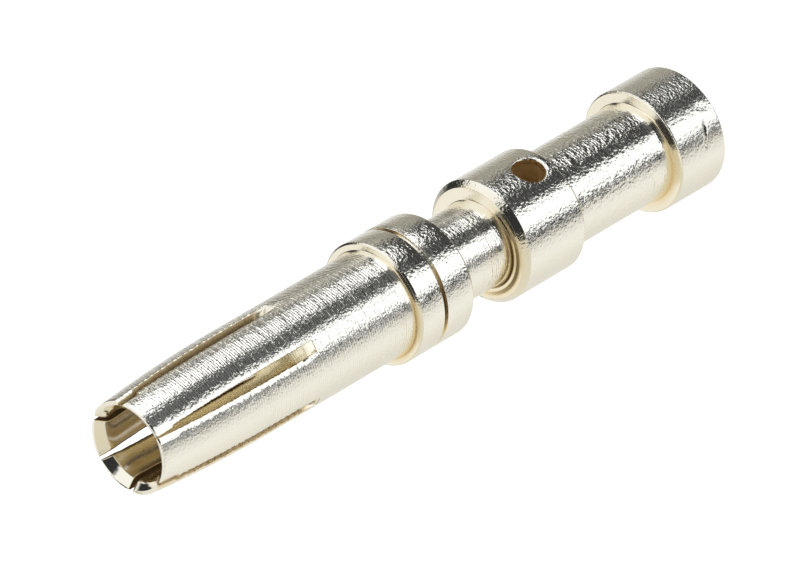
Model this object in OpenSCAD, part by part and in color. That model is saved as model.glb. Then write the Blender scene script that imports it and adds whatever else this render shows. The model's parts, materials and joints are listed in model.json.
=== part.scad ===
// Turned crimp contact, female half, for a round mating pin
// It stands on its crimp end, with the socket mouth up and its axis on Z

/* [Socket] */
// Outside diameter of the socket tube
tube_d = 3.7; // [3.4:0.05:4.0]
// Length of the socket from the front collar to the mouth
socket_l = 11.32; // [10:0.1:14]
// Outside diameter at the mouth, where the tines are closed in
mouth_d = 3.16; // [3.0:0.02:3.3]
// Length over which the tines curve inwards
closing_l = 5.2; // [4:0.1:6]
// Wall of the tines
tine_wall = 0.42; // [0.3:0.02:0.5]
// Bore of the gripping land behind the mouth
land_d = 2.4; // [2.2:0.02:2.5]
// Length of the gripping land with its lead-in
land_l = 0.7; // [0.5:0.05:1]
// Lead-in chamfer of the mouth
lead_in = 0.26; // [0.1:0.02:0.3]
// Depth of the socket bore past the slot roots
bore_past_slots = 3.7; // [2:0.1:4]

/* [Slots] */
// Number of slots between the tines
slot_n = 6; // [4:1:6]
// Width of the saw cut at its root
slot_w = 0.4; // [0.32:0.02:0.5]
// Length of a slot on the outside of the tube
slot_l = 7.1; // [6:0.1:8]
// How much shorter a slot is at the bore than at the outside
root_rake = 0.24; // [0.1:0.02:0.4]
// Length of the pressed lips at the tine tips
lip_l = 0.75; // [0.4:0.05:0.9]
// Gap between the lips at the mouth
lip_gap = 0.06; // [0.04:0.01:0.1]
// Width of the bevel pressed on each lip
lip_bevel = 0.16; // [0.1:0.02:0.2]
// Turn of the first slot from the inspection hole
slot_turn = 19; // [0:1:59]

/* [Collars and neck] */
// Diameter of both collars and of the rear flange
collar_d = 4.3; // [4.1:0.05:4.6]
// Length of the front collar
front_collar_l = 2.46; // [2:0.05:3.5]
// Distance from the front of the front collar to the middle of its groove
groove_inset = 1.15; // [0.7:0.05:1.4]
// Width of the size-marking groove
groove_w = 0.16; // [0.1:0.01:0.3]
// Depth of the size-marking groove
groove_depth = 0.1; // [0.05:0.01:0.2]
// Diameter of the neck that the latch holds
neck_d = 2.95; // [2.6:0.05:3.2]
// Length of the neck
neck_l = 2.52; // [2:0.05:4]
// Length of the rear collar
rear_collar_l = 2.83; // [2.4:0.05:4]
// Chamfer at the front of the rear collar
rear_collar_chamfer = 0.2; // [0.1:0.02:0.3]
// Height of the small step ring where a collar meets the neck or the tube
step_h = 0.12; // [0.06:0.02:0.2]
// Radial width of that step ring
step_w = 0.07; // [0.04:0.01:0.1]

/* [Crimp barrel] */
// Outside diameter of the crimp barrel
barrel_d = 3.42; // [3.2:0.02:3.7]
// Length of the crimp barrel between flange and rear collar
barrel_l = 4.72; // [4:0.1:7]
// Length of the rear flange
flange_l = 2.15; // [1.5:0.05:3]
// Bore for the stripped conductor
wire_bore_d = 1.75; // [1.3:0.05:2.2]
// Entry chamfer of the conductor bore
wire_entry = 0.3; // [0.15:0.05:0.4]
// Diameter of the inspection hole
hole_d = 1.1; // [0.8:0.05:1.2]
// Distance of the inspection hole from the rear edge of the rear collar
hole_inset = 0.85; // [0.75:0.05:1.2]
// Depth of the conductor bore past the inspection hole
bore_past_hole = 0.25; // [0.1:0.05:0.5]

/* [Edges] */
// Break on the turned outside edges
edge_break = 0.08; // [0.03:0.01:0.12]
// Break on the outside edge of the mouth
mouth_break = 0.02; // [0.01:0.01:0.05]

/* [Hidden] */
$fn = 96;

// Point angle of the drills, half of it
drill_half_angle = 59;
// Straight stretches of one curved slot wall
slot_steps = 8;
// Length of the ramp where a slot narrows to its lips
lip_ramp = 0.06;
// Tilt of the lip bevels from the tine's outside
lip_bevel_angle = 18;
// Overlap of cutters past the surface they cut
past = 1;
// Sides of the very large closing circle
closing_sides = 720;

tube_r = tube_d / 2;
mouth_r = mouth_d / 2;
land_r = land_d / 2;
collar_r = collar_d / 2;
neck_r = neck_d / 2;
barrel_r = barrel_d / 2;
wire_r = wire_bore_d / 2;

// Heights from the crimp end, in the order the bar was turned
flange_top = flange_l;
rear_collar_z = flange_top + barrel_l;
rear_collar_top = rear_collar_z + rear_collar_l;
front_collar_z = rear_collar_top + neck_l;
front_collar_top = front_collar_z + front_collar_l;
groove_z = front_collar_top - groove_inset;
mouth_z = front_collar_top + socket_l;
bend_z = mouth_z - closing_l;
slot_root_z = mouth_z - slot_l;
lip_z = mouth_z - lip_l;
land_z = mouth_z - land_l;
hole_z = rear_collar_z + hole_inset;
wire_depth = hole_z + hole_d / 2 + bore_past_hole;
socket_floor_z = slot_root_z - bore_past_slots;

// The tines close along one large circle, tangent to the tube at bend_z
closing = tube_r - mouth_r;
closing_r = (closing_l * closing_l + closing * closing) / (2 * closing);
function tine_r(z) =
    z < bend_z ? tube_r : tube_r - closing_r + sqrt(pow(closing_r, 2) - pow(z - bend_z, 2));

// A saw cut narrows as its two tines close in
function slot_half(z) = max(slot_w / 2 - (tube_r - tine_r(z)) * PI / slot_n, lip_gap);

module closing_circle(inset) {
    translate([tube_r - closing_r, bend_z]) circle(r = closing_r - inset, $fn = closing_sides);
}

module bar_section() {
    polygon([
        [0, 0],
        [collar_r - edge_break, 0],
        [collar_r, edge_break],
        [collar_r, flange_top - edge_break],
        [collar_r - edge_break, flange_top],
        [barrel_r + edge_break, flange_top],
        [barrel_r, flange_top + edge_break],
        [barrel_r, rear_collar_z],
        [collar_r - edge_break, rear_collar_z],
        [collar_r, rear_collar_z + edge_break],
        [collar_r, rear_collar_top - rear_collar_chamfer],
        [collar_r - rear_collar_chamfer, rear_collar_top],
        [neck_r + step_w, rear_collar_top],
        [neck_r, rear_collar_top + step_h],
        [neck_r, front_collar_z],
        [collar_r - edge_break, front_collar_z],
        [collar_r, front_collar_z + edge_break],
        [collar_r, groove_z - groove_w / 2],
        [collar_r - groove_depth, groove_z - groove_w / 2],
        [collar_r - groove_depth, groove_z + groove_w / 2],
        [collar_r, groove_z + groove_w / 2],
        [collar_r, front_collar_top - edge_break],
        [collar_r - edge_break, front_collar_top],
        [tube_r + step_w, front_collar_top],
        [tube_r, front_collar_top + step_h],
        [tube_r, bend_z],
        [0, bend_z]
    ]);
}

module tine_section() {
    intersection() {
        polygon([
            [0, bend_z],
            [tube_r, bend_z],
            [tube_r, mouth_z - closing - mouth_break],
            [mouth_r - mouth_break, mouth_z],
            [0, mouth_z]
        ]);
        closing_circle(0);
    }
}

module socket_bore() {
    bore_r = tube_r - tine_wall;
    rotate_extrude() union() {
        polygon([
            [0, socket_floor_z - bore_r / tan(drill_half_angle)],
            [bore_r, socket_floor_z],
            [bore_r, bend_z],
            [0, bend_z]
        ]);
        intersection() {
            translate([0, socket_floor_z]) square([tube_r, land_z - socket_floor_z]);
            closing_circle(tine_wall);
        }
        polygon([
            [0, bend_z],
            [land_r, bend_z],
            [land_r, mouth_z - lead_in],
            [land_r + lead_in + past, mouth_z + past],
            [0, mouth_z + past]
        ]);
    }
}

module slot() {
    curve = [for (i = [0 : slot_steps]) slot_root_z + (lip_z - slot_root_z) * i / slot_steps];
    right_side = [
        for (z = curve) [slot_half(z), z],
        [lip_gap * 2 / 3, lip_z + lip_ramp],
        [lip_gap / 2, mouth_z + past]
    ];
    last = len(right_side) - 1;
    left_side = [for (i = [last : -1 : 0]) [-right_side[i].x, right_side[i].y]];
    rake = root_rake / tine_wall;
    intersection() {
        rotate([90, 0, 90]) linear_extrude(tube_r + past) polygon(concat(right_side, left_side));
        rotate([90, 0, 0]) linear_extrude(slot_w + past, center = true) polygon([
            [0, slot_root_z + rake * tube_r],
            [tube_r + past, slot_root_z - rake * past],
            [tube_r + past, mouth_z + past],
            [0, mouth_z + past]
        ]);
    }
}

// The pressed bevels of two neighbouring lips make one shallow V along the tine's slope
module lip_bevels() {
    lip_mid_z = (lip_z + mouth_z) / 2;
    lip_r = tine_r(lip_mid_z);
    lip_slope = asin((lip_mid_z - bend_z) / closing_r);
    half_w = lip_gap / 2 + lip_bevel;
    depth = half_w * tan(lip_bevel_angle) + half_w * half_w / (2 * lip_r);
    rise = 2 * half_w * tan(lip_bevel_angle) - depth;
    translate([lip_r, 0, lip_mid_z]) rotate([0, -lip_slope, 0]) translate([0, 0, -lip_l / 2])
        linear_extrude(lip_l + past) polygon([[-depth, 0], [rise, 2 * half_w], [rise, -2 * half_w]]);
}

module wire_bore() {
    rotate_extrude() polygon([
        [0, -past],
        [wire_r + wire_entry + past, -past],
        [wire_r, wire_entry],
        [wire_r, wire_depth],
        [0, wire_depth + wire_r / tan(drill_half_angle)]
    ]);
}

module inspection_hole() {
    translate([0, 0, hole_z]) rotate([90, 0, 0]) cylinder(d = hole_d, h = collar_r + past);
}

module contact() {
    color("silver") difference() {
        rotate_extrude() union() {
            bar_section();
            tine_section();
        }
        socket_bore();
        for (i = [0 : slot_n - 1]) rotate(slot_turn - 90 + i * 360 / slot_n) {
            slot();
            lip_bevels();
        }
        wire_bore();
        inspection_hole();
    }
}

contact();
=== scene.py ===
import json
import math

import bmesh
import bpy
from mathutils import Matrix, Vector


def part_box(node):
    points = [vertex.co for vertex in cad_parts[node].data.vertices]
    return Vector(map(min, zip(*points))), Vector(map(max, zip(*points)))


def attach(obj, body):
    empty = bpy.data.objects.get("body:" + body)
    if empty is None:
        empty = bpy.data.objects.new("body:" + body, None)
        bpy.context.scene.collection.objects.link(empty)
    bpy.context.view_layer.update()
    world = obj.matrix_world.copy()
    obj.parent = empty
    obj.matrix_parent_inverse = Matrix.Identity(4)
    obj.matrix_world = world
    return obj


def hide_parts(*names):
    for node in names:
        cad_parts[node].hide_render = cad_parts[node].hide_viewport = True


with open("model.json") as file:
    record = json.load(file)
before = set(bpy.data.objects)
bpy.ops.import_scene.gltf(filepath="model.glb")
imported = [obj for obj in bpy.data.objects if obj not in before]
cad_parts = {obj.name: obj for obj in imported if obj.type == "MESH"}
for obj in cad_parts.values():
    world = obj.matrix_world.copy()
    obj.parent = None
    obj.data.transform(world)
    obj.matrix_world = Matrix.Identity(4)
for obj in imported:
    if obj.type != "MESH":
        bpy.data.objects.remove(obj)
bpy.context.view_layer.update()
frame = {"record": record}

# The turned bar: flange, crimp barrel, rear collar, neck, grooved front collar and socket tube.
# A lathe turns them in one piece from a copper alloy bar, drills the wire bore from the crimp end
# and the socket bore from the mouth, and the whole is then silver plated. Sizes are in millimetres.
MM = 0.001
mounts = {mount["name"]: mount["dims"] for mount in frame["record"]["mounts"] if mount["dims"]}
low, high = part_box("contact")
length = (high.z - low.z) / MM
collar_r = (high.x - low.x) / 2 / MM
neck_r = mounts["latch_neck"]["r_mm"]
wire_r = mounts["wire_barrel"]["r_mm"]
bore_r = mounts["pin_bore"]["r_mm"]
land_r = mounts["pin_socket"]["r_mm"]
tine_wall = 0.42
tube_r = bore_r + tine_wall
barrel_r = 1.71
flange_top = 2.15
rear_collar_z = 6.87
rear_collar_top = 9.70
rear_chamfer = 0.2
front_collar_z = 12.22
front_collar_top = 14.68
groove_z = 13.53
groove_w = 0.16
groove_depth = 0.1
foot_w = 0.045
foot_h = 0.16
flare_h = 3 * foot_h
wire_depth = 8.52
wire_entry = 0.3
socket_floor_z = 15.2
drill_half_angle = math.radians(59)
hole_r = 0.55
hole_z = 7.72
hole_patch = 0.72
edge_r = 0.07
inner_edge_r = 0.02
front_chamfer = 0.06
chamfer_edge_r = 0.012

# Six saw cuts from the mouth divide the tube, so the rings have narrow columns under each of them
slot_count = 6
slot_half = 0.2
slot_root_z = 19.0
slot_turn = math.radians(-71)
slot_edge = 0.045
# The last ring of the tube lies just under the slot roots, and that of the socket bore a little past them
tube_end_z = slot_root_z - 0.008
bore_end_z = slot_root_z + 0.08
# The cuts are a little uneven, in their turn round the axis and in the rake of their roots: one is torn
slot_lean = [math.radians(lean) for lean in (6, 3, 0, -3, -6, 0)]
root_rakes = [0.5, 0.13, 0.13, 0.13, 0.13, 0.13]
slot_angles = [slot_turn + k * 2 * math.pi / slot_count + slot_lean[k] for k in range(slot_count)]
slot_angles.append(slot_angles[0] + 2 * math.pi)
tine_columns = 25
slot_columns = 6
block = tine_columns + slot_columns
column_count = slot_count * block
tiny = 1e-6

points = []
faces = []
recess_of = []
rings_of = []
grain_of = []


def add_loop(coords, recess=0.0, finish=(0.0, 0.3)):
    """Adds points with their painted shade as a depth in a recess and their (turned rings, grain), and
    numbers them
    """
    first = len(points)
    points.extend(coords)
    recess_of.extend([recess] * len(coords))
    rings_of.extend([finish[0]] * len(coords))
    grain_of.extend([finish[1]] * len(coords))
    return list(range(first, len(points)))


def join_loops(lower, upper, closed=True):
    count = len(lower)
    for i in range(count if closed else count - 1):
        k = (i + 1) % count
        faces.append((lower[i], lower[k], upper[k], upper[i]))


def rounded(corners, steps=4):
    """Turns (radius, height, fillet) corners into a path, with each fillet as an arc"""
    path = []
    for i, (r, z, fillet) in enumerate(corners):
        here = Vector((r, z))
        if not fillet:
            path.append((r, z))
            continue
        back = (Vector(corners[i - 1][:2]) - here).normalized()
        ahead = (Vector(corners[i + 1][:2]) - here).normalized()
        half = back.angle(ahead) / 2
        centre = here + (back + ahead).normalized() * fillet / math.sin(half)
        spoke = here + back * fillet / math.tan(half) - centre
        turn = math.pi - 2 * half
        if back.x * ahead.y - back.y * ahead.x < 0:
            turn = -turn
        for step in range(steps + 1):
            arm = Matrix.Rotation(-turn * step / steps, 2) @ spoke
            path.append((centre.x + arm.x, centre.y + arm.y))
    return path


def divided(path, longest):
    """Adds points to a path so that no stretch is longer than longest(height)"""
    out = [path[0]]
    for (r0, z0), (r1, z1) in zip(path, path[1:]):
        stretch = math.hypot(r1 - r0, z1 - z0)
        parts = max(1, math.ceil(stretch / longest((z0 + z1) / 2) - tiny))
        for part in range(1, parts + 1):
            share = part / parts
            out.append((r0 + (r1 - r0) * share, z0 + (z1 - z0) * share))
    return out


def column_angles(r):
    """Angles of the columns round a ring, with a group of narrow ones under each slot"""
    reach = math.asin((slot_half + slot_edge) / r)
    angles = []
    for slot_angle, next_angle in zip(slot_angles, slot_angles[1:]):
        tine_span = next_angle - slot_angle - 2 * reach
        for i in range(tine_columns):
            angles.append(slot_angle + reach + tine_span * i / tine_columns)
        for i in range(slot_columns):
            angles.append(slot_angle + reach + tine_span + 2 * reach * i / slot_columns)
    return angles


# Two dents at the rear edge of the flange, as (angle, height, half length, half width, slant, depth)
flange_dents = [
    (math.radians(-143.5), 0.79, 0.42, 0.05, -0.35, 0.080),
    (math.radians(-121), 0.45, 0.24, 0.14, 1.25, 0.016),
]


def turn_from(middle, angle):
    """The turn from a middle angle to another one, at most half a turn either way"""
    return (angle - middle + math.pi) % (2 * math.pi) - math.pi


def dent_depth(angle, z):
    depth = 0.0
    for dent_angle, dent_z, half_length, half_width, slant, deepest in flange_dents:
        across = turn_from(dent_angle, angle) * collar_r
        rise = z - dent_z
        along = across * math.cos(slant) + rise * math.sin(slant)
        aside = rise * math.cos(slant) - across * math.sin(slant)
        away = (along / half_length) ** 2 + (aside / half_width) ** 2
        depth += deepest * math.exp(-away * away)
    return depth


# Painted shade on the faces at the feet of barrel, neck and tube, on one side of the contact only, as a
# height and (radius, strength) marks
rear_face_shade = [
    (1.95, 0.25), (1.85, 0.6), (1.79, 1.4), (1.70, 1.5),
    (1.66, 0.4), (1.60, 0.4), (1.56, 1.9), (neck_r, 2.0),
]
shaded_faces = [
    (flange_top, [(collar_r - front_chamfer, 0.0), (barrel_r, 0.9)]),
    (rear_collar_top, rear_face_shade),
    (front_collar_top, [(collar_r - front_chamfer, 0.0), (tube_r, 1.3)]),
]
# Painted shade in the groove, and in a thin line on the rear edges of the collars. It fades round the
# contact, and is given as (middle in degrees, narrowness, strength).
groove_painted_shade = [(202, 2.1, 2.0), (295, 5.0, 2.2)]
edge_painted_shade = [(222, 3.6, 2.0)]
edge_line_h = edge_r * 0.7
# Slack in telling which surface of the bar a point lies on: beside a wall, plain, and past a small round
wall_slack = 0.002
slack = 0.01
round_slack = 0.03


def in_groove(z):
    return abs(z - groove_z) < groove_w / 2 + slack


# Painted shade that is strongest at given angles round the contact and fades away from them
def fading_painted_shade(angle, stains):
    strength = 0.0
    for middle, narrowness, most in stains:
        away = abs(turn_from(math.radians(middle), angle))
        strength += most * math.cos(min(math.pi / 2, away * narrowness))
    return strength


def painted_shade(r, z, angle):
    """Strength of the painted shade at a point of the bar"""
    if in_groove(z):
        return fading_painted_shade(angle, groove_painted_shade) * min(1.0, (collar_r - r) / groove_depth)
    for edge_z in (rear_collar_z, front_collar_z):
        if r > collar_r - edge_r / 2 and 0 <= z - edge_z < edge_line_h:
            return fading_painted_shade(angle, edge_painted_shade)
    for face_z, marks in shaded_faces:
        if abs(z - face_z) > foot_h - slack:
            continue
        for (high_r, high_level), (low_r, low_level) in zip(marks, marks[1:]):
            if low_r + wall_slack < r <= high_r:
                strength = low_level + (high_level - low_level) * (r - low_r) / (high_r - low_r)
                # The painted shade on a face is darkest on one side of the contact and absent on the other
                return max(0.0, -strength * math.cos(angle))
    return 0.0


def ring(r, z, angles, recess, finish):
    """Adds one ring of the bar or the socket bore, with the dents and the painted shade in it"""
    coords = []
    for angle in angles:
        here = r
        if z < flange_top and r > barrel_r:
            here -= dent_depth(angle, z)
        coords.append((here * math.cos(angle), here * math.sin(angle), z))
    loop = add_loop(coords, recess, finish)
    for vertex, angle in zip(loop, angles):
        recess_of[vertex] += painted_shade(r, z, angle)
    return loop


def flared_foot(r, z):
    """Corners of the small flare where a thinner stretch rises from a face"""
    return [(r + foot_w, z, inner_edge_r), (r + foot_w / 3, z + foot_h, 0), (r, z + flare_h, 0)]


bar_corners = [
    (0, wire_depth + wire_r / math.tan(drill_half_angle), 0),
    (wire_r, wire_depth, 0),
    (wire_r, hole_z + hole_patch, 0),
    (wire_r, hole_z - hole_patch, 0),
    (wire_r, wire_entry, inner_edge_r),
    (wire_r + wire_entry, 0, inner_edge_r),
    (collar_r, 0, edge_r),
    (collar_r, flange_top - front_chamfer, chamfer_edge_r),
    (collar_r - front_chamfer, flange_top, chamfer_edge_r),
    *flared_foot(barrel_r, flange_top),
    (barrel_r, rear_collar_z, inner_edge_r),
    (collar_r, rear_collar_z, edge_r),
    (collar_r, hole_z - hole_patch, 0),
    (collar_r, hole_z + hole_patch, 0),
    (collar_r, rear_collar_top - rear_chamfer, inner_edge_r),
    (collar_r - rear_chamfer, rear_collar_top, inner_edge_r),
    *[(r, rear_collar_top, 0) for r, strength in rear_face_shade[1:-1]],
    *flared_foot(neck_r, rear_collar_top),
    (neck_r, front_collar_z, inner_edge_r),
    (collar_r, front_collar_z, edge_r),
    (collar_r, groove_z - groove_w / 2, inner_edge_r),
    (collar_r - groove_depth, groove_z - groove_w / 2, inner_edge_r),
    (collar_r - groove_depth, groove_z + groove_w / 2, inner_edge_r),
    (collar_r, groove_z + groove_w / 2, inner_edge_r),
    (collar_r, front_collar_top - front_chamfer, chamfer_edge_r),
    (collar_r - front_chamfer, front_collar_top, chamfer_edge_r),
    *flared_foot(tube_r, front_collar_top),
    (tube_r, tube_end_z, 0),
]

# Longest stretch of the section on the dented flange, round the inspection hole and elsewhere
flange_stretch = 0.035
hole_stretch = 0.12
plain_stretch = 0.5


def bar_stretch(z):
    if z < flange_top:
        return flange_stretch
    if abs(z - hole_z) < hole_patch:
        return hole_stretch
    return plain_stretch


# Golden painted shade of the metal in the wire bore, in the groove and on the faces at the feet
wire_tint = 1.0
groove_shade = 0.1
face_shade = 0.28


def bar_recess(r, z):
    """How deep a point of the section lies in a bore, in the groove or in a corner, as a tint of painted
    shade
    """
    if r < wire_r + wire_entry:
        return wire_tint
    if in_groove(z):
        return min(groove_shade, (collar_r - r) / groove_depth)
    if any(abs(z - face_z) < round_slack for face_z, marks in shaded_faces):
        return face_shade
    return 0.0


# Finish of each stretch, as strengths of (turned rings, grain)
wire_finish = (0.1, 0.1)
rear_chamfer_finish = (0.1, 1.32)
foot_finish = (0.1, 0.3)
barrel_flare_finish = (0.15, 0.8)
neck_flare_finish = (0.2, 0.6)
tube_finish = (1.0, 1.0)
neck_finish = (0.85, 0.9)
barrel_finish = (0.4, 1.6)
flange_finish = (0.15, 1.12)
collar_finish = (0.08, 1.1)


def on_rear_chamfer(r, z):
    from_middle = abs(z - rear_collar_top + rear_chamfer / 2)
    return r > collar_r - rear_chamfer - round_slack and from_middle < rear_chamfer


def bar_finish(r, z):
    if r < wire_r + wire_entry:
        return wire_finish
    if on_rear_chamfer(r, z):
        return rear_chamfer_finish
    if any(-round_slack < z - face_z < foot_h + slack for face_z, marks in shaded_faces):
        return foot_finish
    if foot_h < z - flange_top < flare_h + slack:
        return barrel_flare_finish
    if foot_h < z - rear_collar_top < flare_h + slack:
        return neck_flare_finish
    if z > front_collar_top:
        return tube_finish
    if rear_collar_top < z < front_collar_z:
        return neck_finish
    if flange_top < z < rear_collar_z:
        return barrel_finish
    if z < flange_top:
        return flange_finish
    return collar_finish


outer_angles = column_angles(tube_r)
bar_path = divided(rounded(bar_corners), bar_stretch)
bar_tip = add_loop([(0, 0, bar_path[0][1])], wire_tint)[0]
bar_rings = []
for r, z in bar_path[1:]:
    bar_rings.append(ring(r, z, outer_angles, bar_recess(r, z), bar_finish(r, z)))

# The socket bore, with golden painted shade that is stronger at the slots than at its floor
bore_corners = [
    (0, socket_floor_z - bore_r / math.tan(drill_half_angle), 0),
    (bore_r, socket_floor_z, 0),
    (bore_r, bore_end_z, 0),
]
floor_tint = 0.1
socket_tint = 0.45
bore_finish = (0.1, 0.25)
bore_path = divided(rounded(bore_corners), lambda z: plain_stretch)
bore_tip = add_loop([(0, 0, bore_path[0][1])], floor_tint)[0]
inner_angles = column_angles(bore_r)
bore_rings = []
for r, z in bore_path[1:]:
    share = (z - socket_floor_z) / (slot_root_z - socket_floor_z)
    golden = floor_tint + (socket_tint - floor_tint) * share
    bore_rings.append(ring(r, z, inner_angles, golden, bore_finish))
for tip, rings in ((bar_tip, bar_rings), (bore_tip, bore_rings)):
    for i in range(column_count):
        faces.append((tip, rings[0][i], rings[0][(i + 1) % column_count]))

# The inspection hole: drilled from the side through the rear collar into the wire bore, with its rim
# rounded by deburring. It has no piece of its own: a patch of the turned bar is left open round it and
# filled by loops that pass from square to round.
hole_angle = math.radians(270)
hole_rim = 0.1
# The hole's wall gets a golden painted shade, a little stronger than the wire bore's
hole_tint = 1.05
# Half widths of the open patch, as angles on the collar and in the wire bore. On the collar it is a little
# wider than it is high.
patch_widening = 1.05
collar_reach = math.asin(hole_patch * patch_widening / collar_r)
wire_reach = math.radians(58)


def patch_columns(reach):
    """Columns whose angle lies within reach of the hole's, counted on past a full turn"""
    inside = []
    for column in range(2 * column_count):
        angle = outer_angles[column % column_count] + 2 * math.pi * (column // column_count)
        if abs(angle - hole_angle) <= reach:
            inside.append(column)
    return inside


def open_patch(r, reach):
    """Ring numbers and columns of the open patch on the surface of radius r"""
    rows = []
    for i, (ring_r, ring_z) in enumerate(bar_path[1:]):
        if abs(ring_r - r) < tiny and abs(ring_z - hole_z) <= hole_patch + tiny:
            rows.append(i)
    return rows, patch_columns(reach)


def patch_edge(rows, columns):
    """The vertices round an open patch, in order"""
    cols = [c % column_count for c in columns]
    edge = [bar_rings[rows[0]][c] for c in cols]
    edge += [bar_rings[row][cols[-1]] for row in rows[1:]]
    edge += [bar_rings[rows[-1]][c] for c in reversed(cols[:-1])]
    edge += [bar_rings[row][cols[0]] for row in reversed(rows[1:-1])]
    return edge


collar_rows, collar_columns = open_patch(collar_r, collar_reach)
wire_rows, wire_columns = open_patch(wire_r, wire_reach)
open_cells = set()
for rows, columns in ((collar_rows, collar_columns), (wire_rows, wire_columns)):
    for row in range(min(rows), max(rows)):
        for column in columns[:-1]:
            open_cells.add((row, column % column_count))
for rings in (bar_rings, bore_rings):
    for row, (lower, upper) in enumerate(zip(rings, rings[1:])):
        for i in range(column_count):
            if rings is bar_rings and (row, i) in open_cells:
                continue
            k = (i + 1) % column_count
            faces.append((lower[i], lower[k], upper[k], upper[i]))


def hole_loop(polar, radius, surface_r, depth, recess, grain=0.3):
    """A loop round the hole's axis, at a depth below a cylinder about the contact's axis"""
    coords = []
    for angle in polar:
        x = radius * math.cos(angle)
        y = depth - math.sqrt(surface_r ** 2 - x * x)
        coords.append((x, y, hole_z + radius * math.sin(angle)))
    return add_loop(coords, recess, (0.0, grain))


def polar_angle(vertex):
    """Angle of a point about the hole's axis"""
    return math.atan2(points[vertex][2] - hole_z, points[vertex][0])


def zip_loops(loop_a, loop_b):
    """Fills between two loops of different counts that both go round the hole's axis"""
    loop_a = sorted(loop_a, key=polar_angle)
    loop_b = sorted(loop_b, key=polar_angle)
    angles_a = [polar_angle(vertex) for vertex in loop_a]
    angles_a.append(angles_a[0] + 2 * math.pi)
    angles_b = [polar_angle(vertex) for vertex in loop_b]
    angles_b.append(angles_b[0] + 2 * math.pi)
    i = j = 0
    while i < len(loop_a) or j < len(loop_b):
        a = loop_a[i % len(loop_a)]
        b = loop_b[j % len(loop_b)]
        if j == len(loop_b) or (i < len(loop_a) and angles_a[i + 1] < angles_b[j + 1]):
            faces.append((a, loop_a[(i + 1) % len(loop_a)], b))
            i += 1
        else:
            faces.append((b, a, loop_b[(j + 1) % len(loop_b)]))
            j += 1


# Shares of the way from the patch's edge to the rim
patch_shares = (0.4, 0.75, 1.0)
patch_finish = (0.1, 1.15)
# The rounded rim and the top of the hole's wall, as (radius, depth, recess, grain)
rim_loops = [
    (hole_r + hole_rim * 0.55, hole_rim * 0.12, 0.0, 1.6),
    (hole_r + hole_rim * 0.15, hole_rim * 0.45, 0.1, 1.6),
    (hole_r, hole_rim, 0.5, 0.6),
    (hole_r, hole_rim + 0.2, 1.0, 0.3),
]
# The foot of the wall, as depths below the surface of the wire bore
wall_depths = (-0.3, -0.03, 0.0)

collar_edge = patch_edge(collar_rows, collar_columns)
polar = [polar_angle(vertex) for vertex in collar_edge]
last_loop = collar_edge
for share in patch_shares:
    coords = []
    for vertex, angle in zip(collar_edge, polar):
        start_x = points[vertex][0]
        start_z = points[vertex][2] - hole_z
        x = start_x + ((hole_r + hole_rim) * math.cos(angle) - start_x) * share
        z = start_z + ((hole_r + hole_rim) * math.sin(angle) - start_z) * share
        coords.append((x, -math.sqrt(collar_r ** 2 - x * x), hole_z + z))
    loop = add_loop(coords, 0.0, patch_finish)
    join_loops(last_loop, loop)
    last_loop = loop
for radius, depth, recess, grain in rim_loops:
    loop = hole_loop(polar, radius, collar_r, depth, recess, grain)
    join_loops(last_loop, loop)
    last_loop = loop
for depth in wall_depths:
    loop = hole_loop(polar, hole_r, wire_r, depth, hole_tint)
    join_loops(last_loop, loop)
    last_loop = loop
zip_loops(last_loop, patch_edge(wire_rows, wire_columns))

# The socket's six sprung tines: the sawn tube of the same bar, each tine bent inwards towards the mouth.
# The saw's edges are lightly broken and burred, the tips are pressed together into lips, and the mouth
# has a lead-in for the pin.
bend_z = 20.8
lip_z = 25.25
lip_ramp = 0.07
lip_taper = 0.3
mouth_break = 0.004
# Heights of the first loop of a tine above the slot root and of one loop above another, the stretch left
# free below the lips, and the height of one more loop above their foot
first_level = 0.65
level_step = 0.05
lip_run_up = 0.15
lip_level = 0.2
# Depth and steepness of each tine's lead-in, and half the length of its rounding into the land behind it
lead_ins = [(0.26, 1.0), (0.34, 0.75), (0.26, 1.0), (0.26, 1.0), (0.26, 1.0), (0.26, 1.0)]
lead_blend = 0.1
# How far each tine closes in at the mouth, and how far its left lip stands out into the slot
tine_closing = [0.24, 0.29, 0.30, 0.24, 0.29, 0.30]
lip_out = [0.07, 0.0, 0.02, 0.01, 0.06, 0.07]
# Points of a sawn side between the tine's outside and its inside
side_points = 4
# Widths of the broken slot edge and of the lip's pressed facet at each slot
side_facets = {
    "left": [(0.03, 0.10), (0.05, 0.22), (0.05, 0.22), (0.05, 0.22), (0.08, 0.22), (0.08, 0.22)],
    "right": [(0.06, 0.18), (0.10, 0.18), (0.10, 0.18), (0.10, 0.18), (0.10, 0.18), (0.10, 0.18)],
}
facet_tilt = [math.radians(tilt) for tilt in (24, 12, 3, 3, 12, 3)]
facet_edge = 0.015
facet_waver = 0.8
# The rounded inner edge of a sawn side, as shares of slot_edge (along the slot's radius, across the slot)
inner_round = ((0.7, 0.0), (0.2, 0.3))
root_tilt = math.radians(3)
# Painted shade of each slot, as levels on its broken edges, on its walls near the outside and near the
# bore
slot_painted_shade = [
    (0.3, 1.2, 1.7), (0.2, 2.0, 2.0), (0.2, 2.0, 2.0),
    (0.2, 2.0, 2.0), (1.1, 1.3, 1.4), (0.2, 0.4, 0.9),
]
# Height of the burrs that the saw left along each slot, and seeds that keep their sides and facets apart
slot_burr = [0.034, 0.014, 0.014, 0.014, 0.050, 0.022]
side_seed = 9
facet_seed = 4
# Painted shade on the sides and root of a slot, deepening from the outside towards the bore
root_painted_shade = [0.0, 0.05, 0.4, 0.8]
sawn_finish = (0.0, 0.2)
edge_grain = 0.6
# The turned rings fade towards the mouth by this share
ring_fade = 0.7
# Painted golden shade and grain of the lead-in, those of the tines' inside behind it, and half the length
# of the change
lead_tint = 0.1
lead_grain = 0.1
inside_grain = 0.2
tint_blend = 0.05


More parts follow.
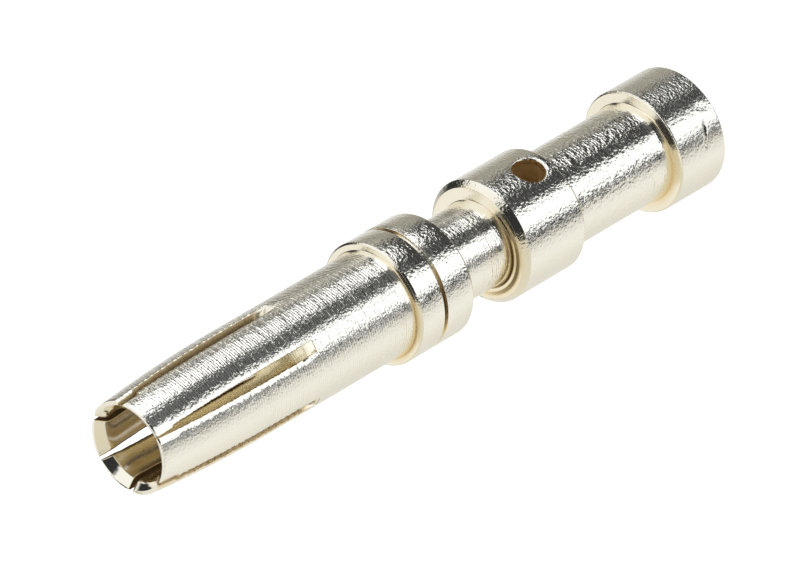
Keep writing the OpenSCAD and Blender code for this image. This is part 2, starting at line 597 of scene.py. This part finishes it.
def closing_share(z):
    """Share of the closing reached at a height: the tine bends nearly as on one large circle"""
    return max(0.0, (z - bend_z) / (length - bend_z)) ** 2


def ramp(value, start, end):
    """Soft step from 0 at the start to 1 at the end"""
    share = min(1.0, max(0.0, (value - start) / (end - start)))
    return share * share * (3 - 2 * share)


def opened(past):
    """How far the lead-in has opened at a height past its foot, for a slope of 1"""
    if past > lead_blend:
        return past
    return max(0.0, past + lead_blend) ** 2 / (4 * lead_blend)


def burr(z, seed):
    """Small unevenness of a sawn edge"""
    waves = ((9.1, 2.3), (23.7, 5.1), (41.3, 3.7), (61.9, 1.9))
    return sum(math.sin(z * pitch + seed * phase) for pitch, phase in waves) / len(waves)


def root_z(r, slot):
    """Height of a slot's raked root at a radius"""
    return slot_root_z + root_rakes[slot % slot_count] * (tube_r - r) / tine_wall


def tine_side(outer_r, inner_r, half, facet_w, tilt):
    """One sawn side from outside to bore, as (along the slot's radius, across the slot)"""
    top = math.sqrt(outer_r ** 2 - (half + facet_w) ** 2)
    facet_end = top - math.tan(tilt) * (facet_w - facet_edge)
    foot = math.sqrt(inner_r ** 2 - half ** 2)
    return [
        (top, half + facet_w),
        (facet_end, half + facet_edge),
        (facet_end - facet_edge, half),
        *[(foot + slot_edge * up, half + slot_edge * aside) for up, aside in inner_round],
        (math.sqrt(inner_r ** 2 - (half + slot_edge) ** 2), half + slot_edge),
    ]


def place(along, across, angle):
    """Turns a spot beside a slot's radius into a place in the cross section"""
    return Vector((
        along * math.cos(angle) - across * math.sin(angle),
        along * math.sin(angle) + across * math.cos(angle),
    ))


def tine_levels(lead_in):
    """Heights of a tine's loops"""
    levels = [slot_root_z + first_level]
    while levels[-1] < lip_z - lip_run_up:
        levels.append(levels[-1] + level_step)
    return levels + [
        lip_z,
        lip_z + lip_ramp,
        lip_z + lip_level,
        *[length - lead_in + lead_blend * share for share in (-1, -0.5, 0, 0.5, 1)],
        *[length - mouth_break * share for share in (1, 0.3, 0)],
    ]


root_side = tine_side(tube_r, bore_r, slot_half, slot_edge, root_tilt)
root_sides = []
outer_edges = set()
facet_edges = set()
for k in range(slot_count):
    left_angle, right_angle = slot_angles[k:k + 2]
    mid_angle = (left_angle + right_angle) / 2
    mid = Vector((math.cos(mid_angle), math.sin(mid_angle)))
    hands = (("left", k, 1), ("right", k + 1, -1))
    sides = {}
    for name, slot, hand in hands:
        sides[name] = []
        for (along, across), recess in zip(root_side[1:-1], root_painted_shade):
            spot = place(along, across * hand, slot_angles[slot])
            corner = (spot.x, spot.y, root_z(spot.length, slot))
            sides[name] += add_loop([corner], recess, sawn_finish)
    root_sides.append(sides)
    outer = [bar_rings[-1][(k * block + i) % column_count] for i in range(tine_columns + 1)]
    inner = [bore_rings[-1][(k * block + i) % column_count] for i in range(tine_columns + 1)]
    last_loop = outer + sides["right"] + inner[::-1] + sides["left"][::-1]
    lead_in, lead_slope = lead_ins[k]
    for z in tine_levels(lead_in):
        shift = tine_closing[k] * closing_share(z)
        lips = ramp(z, lip_z, lip_z + lip_ramp)
        to_mouth = max(0.0, z - lip_z) / (length - lip_z)
        outer_r = tube_r - mouth_break * ramp(z, length - mouth_break, length)
        inner_r = max(bore_r, land_r + shift) + lead_slope * opened(z - length + lead_in)
        side_coords = {}
        for name, slot, hand in hands:
            seed = k + side_seed * hand
            edge_w, lip_w = side_facets[name][slot % slot_count]
            tilt = facet_tilt[slot % slot_count]
            half = slot_half + slot_burr[slot % slot_count] * burr(z, seed) * (1 - lips)
            if name == "left":
                half -= lip_out[k] * (1 - lip_taper * to_mouth) * lips
            facet_w = edge_w * (1 + facet_waver * burr(z, seed + facet_seed)) * (1 - lips) + lip_w * lips
            side_coords[name] = []
            for along, across in tine_side(outer_r, inner_r, half, facet_w, tilt):
                side_coords[name].append(place(along, across * hand, slot_angles[slot]))
        arcs = []
        for pick, r in ((0, outer_r), (-1, inner_r)):
            start = math.atan2(side_coords["left"][pick].y, side_coords["left"][pick].x)
            end = math.atan2(side_coords["right"][pick].y, side_coords["right"][pick].x)
            while end < start:
                end += 2 * math.pi
            arc = []
            for i in range(tine_columns + 1):
                angle = start + (end - start) * i / tine_columns
                arc.append(Vector((r * math.cos(angle), r * math.sin(angle))))
            arcs.append(arc)
        outer_arc, inner_arc = arcs
        in_lead = ramp(z, length - lead_in - tint_blend, length - lead_in + tint_blend)
        inside_tint = socket_tint + (lead_tint - socket_tint) * in_lead
        inside_finish = (bore_finish[0], inside_grain + (lead_grain - inside_grain) * in_lead)
        ringed = tube_finish[0] - ring_fade * ramp(z, bend_z, length)
        # Painted shade of the slots on either side of this tine, on their edges and walls
        left_edge, left_outer, left_inner = slot_painted_shade[k]
        right_edge, right_outer, right_inner = slot_painted_shade[(k + 1) % slot_count]
        groups = (
            (outer_arc[:1], 0.0, (0.0, edge_grain)),
            (outer_arc[1:-1], 0.0, (ringed, tube_finish[1])),
            (outer_arc[-1:], 0.0, (0.0, edge_grain)),
            (side_coords["right"][1:2], right_edge, (0.0, edge_grain + right_edge)),
            (side_coords["right"][2:3], right_outer, sawn_finish),
            (side_coords["right"][3:5], right_inner, sawn_finish),
            (inner_arc[::-1], inside_tint, inside_finish),
            (side_coords["left"][4:2:-1], left_inner, sawn_finish),
            (side_coords["left"][2:1:-1], left_outer, sawn_finish),
            (side_coords["left"][1:0:-1], left_edge, (0.0, edge_grain + left_edge)),
        )
        loop = []
        for group, recess, finish in groups:
            bent = [spot - mid * shift for spot in group]
            loop += add_loop([(spot.x, spot.y, z) for spot in bent], recess, finish)
        outer_edges.update((loop[0], loop[tine_columns]))
        facet_edges.update((loop[-1], loop[tine_columns + 1]))
        join_loops(last_loop, loop)
        last_loop = loop
    count = tine_columns + 1
    outer = last_loop[:count]
    right = last_loop[count:count + side_points]
    inner = last_loop[count + side_points:2 * count + side_points][::-1]
    left = last_loop[2 * count + side_points:][::-1]
    join_loops(outer, inner, closed=False)
    faces.append((outer[-1], *right, inner[-1]))
    faces.append((outer[0], *left, inner[0]))

# The raked root of each slot, between the sides of two neighbouring tines, with painted shade deepening
# towards the bore
for k in range(slot_count):
    after = (k + 1) % slot_count
    columns = [(k * block + tine_columns + i) % column_count for i in range(slot_columns + 1)]
    last_row = [bar_rings[-1][c] for c in columns]
    for start, end, recess in zip(root_sides[k]["right"], root_sides[after]["left"], root_painted_shade):
        start_spot = Vector(points[start])
        end_spot = Vector(points[end])
        coords = [start_spot.lerp(end_spot, i / slot_columns)[:] for i in range(1, slot_columns)]
        row = [start] + add_loop(coords, recess, sawn_finish) + [end]
        join_loops(last_row, row, closed=False)
        last_row = row
    join_loops(last_row, [bore_rings[-1][c] for c in columns], closed=False)

# The whole contact as one mesh, sharp along its edges and along those of the slots
sharp_from = math.radians(50)
mesh = bpy.data.meshes.new("contact_metal")
mesh.from_pydata([(x * MM, y * MM, z * MM) for x, y, z in points], [], faces)
work = bmesh.new()
work.from_mesh(mesh)
bmesh.ops.recalc_face_normals(work, faces=work.faces)
work.to_mesh(mesh)
work.free()
for name, values in (("recess", recess_of), ("rings", rings_of), ("grain", grain_of)):
    mesh.attributes.new(name, "FLOAT", "POINT").data.foreach_set("value", values)
mesh.shade_smooth()
mesh.set_sharp_from_angle(angle=sharp_from)
for edge in mesh.edges:
    if outer_edges.issuperset(edge.vertices) or facet_edges.issuperset(edge.vertices):
        edge.use_edge_sharp = True
contact = bpy.data.objects.new("contact_metal", mesh)
bpy.context.scene.collection.objects.link(contact)
weighted = contact.modifiers.new("face_weighted_normals", "WEIGHTED_NORMAL")
weighted.keep_sharp = True

# Silver plating: bright and slightly warm, with the lathe's fine rings under it on tube and neck, a grainy
# skin on the collars and barrel, and golden and brown painted shade in bores, slots, the groove and
# corners.
silver = (0.94, 0.938, 0.89, 1)
golden_painted_shade = (0.93, 0.80, 0.54, 1)
brown_painted_shade = (0.24, 0.16, 0.07, 1)
# The tool's feed marks: pitch, height and unevenness, and the share of a mark that its steep side takes
rib_pitch = 0.1 * MM
rib_strength = 0.38
rib_waver = 2.0
steep_share = 0.28
# A wave texture of scale 1 repeats at this length
wave_length = math.pi / 10
# Scales of the noises in the plating, of which the one for the rings is stretched round the axis
waver_scale = 900
ring_scales = (1300, 1300, 7500)
grain_scale = 10000.0
crinkle_scale = 5500.0
wear_scale = 2500.0
# Range that most values of a noise lie in
noise_range = (0.3, 0.7)
bump_height = 0.015 * MM
# Share of the marks' height that is left where golden or brown shade is painted
marks_in_painted_shade = 0.2
# Grain up to this strength is fine, and what is above it is crinkled
most_fine_grain = 1.15
crinkle_strength = 3.5
# Roughness of the clean plating, what handling adds to it on the flange, and what the painted shade adds:
# a share of its depth, and a step between two depths
clean_roughness = (0.05, 0.09)
flange_haze = 0.1
haze_in_painted_shade = 0.2
dull_depths = (0.65, 1.2)
dull_haze = 0.35
plating = bpy.data.materials.new("silver_plating")
plating.use_nodes = True
nodes = plating.node_tree.nodes
links = plating.node_tree.links
metal = nodes["Principled BSDF"]
metal.inputs["Metallic"].default_value = 1.0
place_on = nodes.new("ShaderNodeTexCoord")


def attribute(name):
    node = nodes.new("ShaderNodeAttribute")
    node.attribute_name = name
    return node.outputs["Fac"]


def noise(scale, detail, stretch=(1, 1, 1)):
    mapping = nodes.new("ShaderNodeMapping")
    mapping.inputs["Scale"].default_value = stretch
    links.new(place_on.outputs["Object"], mapping.inputs["Vector"])
    node = nodes.new("ShaderNodeTexNoise")
    node.inputs["Scale"].default_value = scale
    node.inputs["Detail"].default_value = detail
    links.new(mapping.outputs["Vector"], node.inputs["Vector"])
    return node.outputs["Fac"]


def maths(operation, first, second, tree=plating.node_tree):
    """A maths node in the plating or another tree, fed by numbers or by other nodes"""
    node = tree.nodes.new("ShaderNodeMath")
    node.operation = operation
    for socket, value in zip(node.inputs, (first, second)):
        if isinstance(value, (int, float)):
            socket.default_value = value
        else:
            tree.links.new(value, socket)
    return node.outputs["Value"]


def feed_marks(pitch, waver):
    """Ridges round the axis, left by the turning tool, each with a steep and a long side"""
    mapping = nodes.new("ShaderNodeMapping")
    mapping.inputs["Scale"].default_value = (waver_scale, waver_scale, wave_length / pitch)
    links.new(place_on.outputs["Object"], mapping.inputs["Vector"])
    node = nodes.new("ShaderNodeTexWave")
    node.bands_direction = "Z"
    node.wave_profile = "SAW"
    node.inputs["Scale"].default_value = 1.0
    node.inputs["Distortion"].default_value = waver
    node.inputs["Detail"].default_value = 1.0
    node.inputs["Detail Scale"].default_value = 1.0
    links.new(mapping.outputs["Vector"], node.inputs["Vector"])
    steep_side = maths("DIVIDE", node.outputs["Fac"], steep_share)
    long_side = maths("DIVIDE", maths("SUBTRACT", 1.0, node.outputs["Fac"]), 1.0 - steep_share)
    return maths("MINIMUM", steep_side, long_side)


def mapped(value, from_low, from_high, to_low, to_high):
    node = nodes.new("ShaderNodeMapRange")
    node.inputs["From Min"].default_value = from_low
    node.inputs["From Max"].default_value = from_high
    node.inputs["To Min"].default_value = to_low
    node.inputs["To Max"].default_value = to_high
    links.new(value, node.inputs["Value"])
    return node.outputs["Result"]


# The metal is silver at a depth of 0, golden painted shade at 1 and brown painted shade at 2
depth_in = attribute("recess")
tint = nodes.new("ShaderNodeValToRGB")
stops = tint.color_ramp.elements
stops[0].color = silver
stops[1].color = brown_painted_shade
stops.new(0.5).color = golden_painted_shade
links.new(maths("MULTIPLY", depth_in, 0.5), tint.inputs["Fac"])
links.new(tint.outputs["Color"], metal.inputs["Base Color"])

ribs_height = maths("MULTIPLY", feed_marks(rib_pitch, rib_waver), rib_strength)
rings_height = noise(1.0, 1.0, ring_scales)
ring_bump = maths("MULTIPLY", maths("ADD", ribs_height, rings_height), attribute("rings"))
grain_height = noise(grain_scale, 2.0)
fine_bump = maths("MULTIPLY", grain_height, maths("MINIMUM", attribute("grain"), most_fine_grain))
crinkle_height = noise(crinkle_scale, 1.0)
past_fine = maths("MAXIMUM", maths("SUBTRACT", attribute("grain"), most_fine_grain), 0.0)
crinkle_bump = maths("MULTIPLY", crinkle_height, maths("MULTIPLY", past_fine, crinkle_strength))
grain_bump = maths("ADD", fine_bump, crinkle_bump)
# The marks are shallower where shade is painted
open_share = mapped(depth_in, 0.0, 1.0, 1.0, marks_in_painted_shade)
bump = nodes.new("ShaderNodeBump")
bump.inputs["Distance"].default_value = bump_height
bump.inputs["Strength"].default_value = 1.0
links.new(maths("MULTIPLY", maths("ADD", ring_bump, grain_bump), open_share), bump.inputs["Height"])
links.new(bump.outputs["Normal"], metal.inputs["Normal"])
# Roughness is a little uneven all over, more where shade is painted, and more on the flange from handling
wear = mapped(noise(wear_scale, 3.0), *noise_range, *clean_roughness)
hazed = maths("MULTIPLY", depth_in, haze_in_painted_shade)
dulled = maths("ADD", hazed, mapped(depth_in, *dull_depths, 0.0, dull_haze))
along_axis = nodes.new("ShaderNodeSeparateXYZ")
links.new(place_on.outputs["Object"], along_axis.inputs["Vector"])
flange_edge = (flange_top - front_chamfer) * MM
handled = mapped(along_axis.outputs["Z"], flange_edge, flange_top * MM, flange_haze, 0.0)
links.new(maths("ADD", maths("ADD", wear, handled), dulled), metal.inputs["Roughness"])
mesh.materials.append(plating)
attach(contact, "root")
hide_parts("contact")

# The floor: a plain white table that the contact stands on. It keeps the soft shadow and glows enough to
# show white to the camera, and the metal doesn't mirror it.
floor_mesh = bpy.data.meshes.new("floor")
half_floor = 1.0
floor_corners = [(half_floor * x, half_floor * y, 0) for x, y in ((-1, -1), (1, -1), (1, 1), (-1, 1))]
floor_mesh.from_pydata(floor_corners, [], [(0, 1, 2, 3)])
floor = bpy.data.objects.new("floor", floor_mesh)
bpy.context.scene.collection.objects.link(floor)
floor.visible_glossy = False
table = bpy.data.materials.new("white_table")
table.use_nodes = True
table_nodes = table.node_tree.nodes
table_links = table.node_tree.links
table_top = table_nodes["Principled BSDF"]
table_top.inputs["Base Color"].default_value = (0.5, 0.5, 0.5, 1)
table_top.inputs["Roughness"].default_value = 1.0
table_top.inputs["Specular IOR Level"].default_value = 0.0
glow = table_nodes.new("ShaderNodeEmission")
glow.inputs["Strength"].default_value = 0.85
both = table_nodes.new("ShaderNodeAddShader")
to_camera = table_nodes.new("ShaderNodeLightPath")
choose = table_nodes.new("ShaderNodeMixShader")
table_links.new(to_camera.outputs["Is Camera Ray"], choose.inputs["Fac"])
table_links.new(table_top.outputs["BSDF"], choose.inputs[1])
table_links.new(table_top.outputs["BSDF"], both.inputs[0])
table_links.new(glow.outputs["Emission"], both.inputs[1])
table_links.new(both.outputs["Shader"], choose.inputs[2])
table_links.new(choose.outputs["Shader"], table_nodes["Material Output"].inputs["Surface"])
floor_mesh.materials.append(table)

# Studio light: one soft lamp for the shadow, and a pale tent that the metal mirrors. The tent is of
# upright cards with dark gaps between them, in bands for the plumb walls, the ribs and tine tips, and
# the roof, and it has three dark openings.
lamp_data = bpy.data.lights.new("soft_lamp", "AREA")
lamp_data.size = 0.3
lamp_data.energy = 1.0
lamp = bpy.data.objects.new("soft_lamp", lamp_data)
lamp.location = (0.10, -0.12, 0.40)
lamp.rotation_euler = (-Vector(lamp.location)).to_track_quat("-Z", "Y").to_euler()
lamp.visible_glossy = False
bpy.context.scene.collection.objects.link(lamp)

world = bpy.data.worlds.new("studio")
bpy.context.scene.world = world
world.use_nodes = True
sky = world.node_tree.nodes
sky_links = world.node_tree.links
direction = sky.new("ShaderNodeTexCoord")
split = sky.new("ShaderNodeSeparateXYZ")
sky_links.new(direction.outputs["Generated"], split.inputs["Vector"])
azimuth = maths("ARCTAN2", split.outputs["Y"], split.outputs["X"], world.node_tree)
azimuth_turns = maths("DIVIDE", azimuth, 2 * math.pi, world.node_tree)
turn_share = maths("ADD", azimuth_turns, 0.5, world.node_tree)
# What a warm card lacks of green and of blue
warm_green = 0.045
warm_blue = 0.155


def strips(cards):
    """Colours round the tent, from cards as (degrees from +X, level, warmth)"""
    node = sky.new("ShaderNodeValToRGB")
    band = node.color_ramp.elements
    for i, (degrees, level, warmth) in enumerate(sorted(cards)):
        position = (degrees + 180) / 360
        element = band[i] if i < 2 else band.new(position)
        element.position = position
        element.color = (level, level * (1 - warm_green * warmth), level * (1 - warm_blue * warmth), 1)
    sky_links.new(turn_share, node.inputs["Fac"])
    return node.outputs["Color"]


lamp_strip = [(-153, 1.15, 0), (-114.5, 1.15, 0)]
pale_side = [
    (67, 0.84, 0.9), (79, 0.78, 0.9), (91, 0.77, 0.9), (115, 0.81, 1), (127, 0.84, 1), (139, 0.90, 0.9),
    (151, 0.925, 0.7), (163, 0.91, 0.7), (175, 0.80, 0.8), (180, 0.72, 0.8),
    (-180, 0.72, 0.8), (-173, 0.62, 0.8),
]
level_tent = strips(lamp_strip + pale_side + [
    (-169.5, 0.05, 0), (-156, 0.05, 0), (-111.5, 0.05, 0), (-36, 0.06, 0.5), (-32, 0.26, 1),
    (-17, 0.34, 1.4), (-5, 0.37, 1.45), (7, 0.45, 1.3), (19, 0.68, 0.7), (31, 0.79, 0.4), (43, 0.92, 0.4),
])
side_tent = strips(lamp_strip + pale_side + [
    (-169.5, 0.3, 0), (-156, 0.3, 0), (-111.5, 0.15, 0), (-83, 0.16, 0), (-77, 1.5, 0), (-51, 1.5, 0),
    (-48, 0.3, 0.5), (-41, 1.0, 0.5), (-32, 1.15, 0.8), (-26, 0.95, 1),
    (-18, 0.22, 1.4), (-5, 0.20, 1.45), (7, 0.22, 1.3),
    (19, 0.36, 0.7), (31, 0.50, 0.4), (43, 0.68, 0.4),
])
tip_tent = strips(lamp_strip + pale_side + [
    (-169.5, 0.3, 0), (-156, 0.3, 0), (-109, 0.11, 0), (-83, 0.13, 0), (-77, 1.5, 0), (-51, 1.5, 0),
    (-48, 0.08, 0.4), (-37, 0.08, 0.6), (-32, 0.7, 0.6), (-26, 0.55, 0.8),
    (-18, 0.2, 1.2), (-5, 0.19, 1.4), (7, 0.21, 1.3),
    (19, 0.33, 0.7), (31, 0.48, 0.4), (43, 0.66, 0.4),
])
upper_tent = strips([
    (-180, 0.74, 1.8), (-141, 0.74, 1.8), (-137, 0.04, 0),
    (-94, 0.04, 0), (-88, 1.0, 0.4), (-30, 1.0, 0.4), (0, 0.85, 1.2),
    (35, 0.86, 1.0), (55, 0.95, 0.5), (75, 0.86, 1.0), (110, 0.78, 1.6), (180, 0.74, 1.8),
])
height = split.outputs["Z"]
roof_light = (1.15, 1.13, 1.06, 1)
opening_dark = (0.03, 0.03, 0.03, 1)
ground_dark = (0.12, 0.12, 0.12, 1)
plain_light = (0.5, 0.5, 0.5, 1)
white = (1, 1, 1, 1)
# Soft edges of the tent's bands, each from one elevation to another in degrees
level_edges = ((-66, -62), (-34, -36))
tip_edges = ((-36, -32), (-25, -28))
upper_edge = (0, 8)
roof_edge = (62, 66)
ground_edge = (-68, -73)
# Dark openings, as (azimuth, elevation, reach) in degrees, and half the width of their soft rims
openings = [(-123, 50, 28), (6, 10, 19), (22, 56, 11)]
opening_rim = 4


def sky_step(value, start, end):
    """Soft step from 0 at the start to 1 at the end, whichever is higher"""
    node = sky.new("ShaderNodeMapRange")
    node.interpolation_type = "SMOOTHSTEP"
    node.inputs["From Min"].default_value = start
    node.inputs["From Max"].default_value = end
    sky_links.new(value, node.inputs["Value"])
    return node.outputs["Result"]


def sky_mix(share, first, second):
    node = sky.new("ShaderNodeMix")
    node.data_type = "RGBA"
    sky_links.new(share, node.inputs["Factor"])
    for socket, colour in ((node.inputs["A"], first), (node.inputs["B"], second)):
        if isinstance(colour, tuple):
            socket.default_value = colour
        else:
            sky_links.new(colour, socket)
    return node.outputs["Result"]


def sine(degrees):
    return math.sin(math.radians(degrees))


def past_edge(start, end):
    """Share of the tent past a soft edge, which runs from one elevation to another in degrees"""
    return sky_step(height, sine(start), sine(end))


def band_between(lower, upper):
    """Share of the tent between two soft edges"""
    return maths("MULTIPLY", past_edge(*lower), past_edge(*upper), world.node_tree)


tent = sky_mix(band_between(*level_edges), side_tent, level_tent)
tent = sky_mix(band_between(*tip_edges), tent, tip_tent)
tent = sky_mix(past_edge(*upper_edge), tent, upper_tent)
tent = sky_mix(past_edge(*roof_edge), tent, roof_light)


def dark_opening(tent, turn, rise, reach):
    """Darkens the tent within reach degrees of an azimuth and elevation"""
    facing = sky.new("ShaderNodeVectorMath")
    facing.operation = "DOT_PRODUCT"
    out = sine(90 - rise)
    facing.inputs[1].default_value = (out * sine(90 + turn), out * sine(turn), sine(rise))
    sky_links.new(direction.outputs["Generated"], facing.inputs[0])
    edge = [math.cos(math.radians(reach + rim)) for rim in (opening_rim, -opening_rim)]
    return sky_mix(sky_step(facing.outputs["Value"], *edge), tent, opening_dark)


for turn, rise, reach in openings:
    tent = dark_opening(tent, turn, rise, reach)
tent = sky_mix(past_edge(*ground_edge), tent, ground_dark)
sky_path = sky.new("ShaderNodeLightPath")
seen = sky_mix(sky_path.outputs["Is Glossy Ray"], plain_light, tent)
backdrop = sky_mix(sky_path.outputs["Is Camera Ray"], seen, white)
sky_links.new(backdrop, sky["Background"].inputs["Color"])
# Light passes many times between the walls of the bores and slots
bounces = 20
bpy.context.scene.cycles.max_bounces = bounces
bpy.context.scene.cycles.glossy_bounces = bounces

# The camera: it looks down on the standing contact with a long lens, turned so that the socket points
# to the lower left of the picture.
elevation = math.radians(38.70)
bearing = math.radians(-125)
roll = math.radians(-120.35)
aim = Vector((0.23, 0.05, 13.13)) * MM
distance = 0.35565
towards = Vector((
    math.cos(elevation) * math.cos(bearing),
    math.cos(elevation) * math.sin(bearing),
    math.sin(elevation),
))
camera_data = bpy.data.cameras.new("camera")
camera_data.sensor_width = 36
camera_data.lens = 501
camera = bpy.data.objects.new("camera", camera_data)
camera.location = aim + towards * distance
facing_aim = towards.to_track_quat("Z", "Y").to_matrix()
camera.rotation_euler = (facing_aim @ Matrix.Rotation(roll, 3, "Z")).to_euler()
bpy.context.scene.collection.objects.link(camera)
bpy.context.scene.camera = camera
bpy.context.scene.view_settings.view_transform = "Standard"
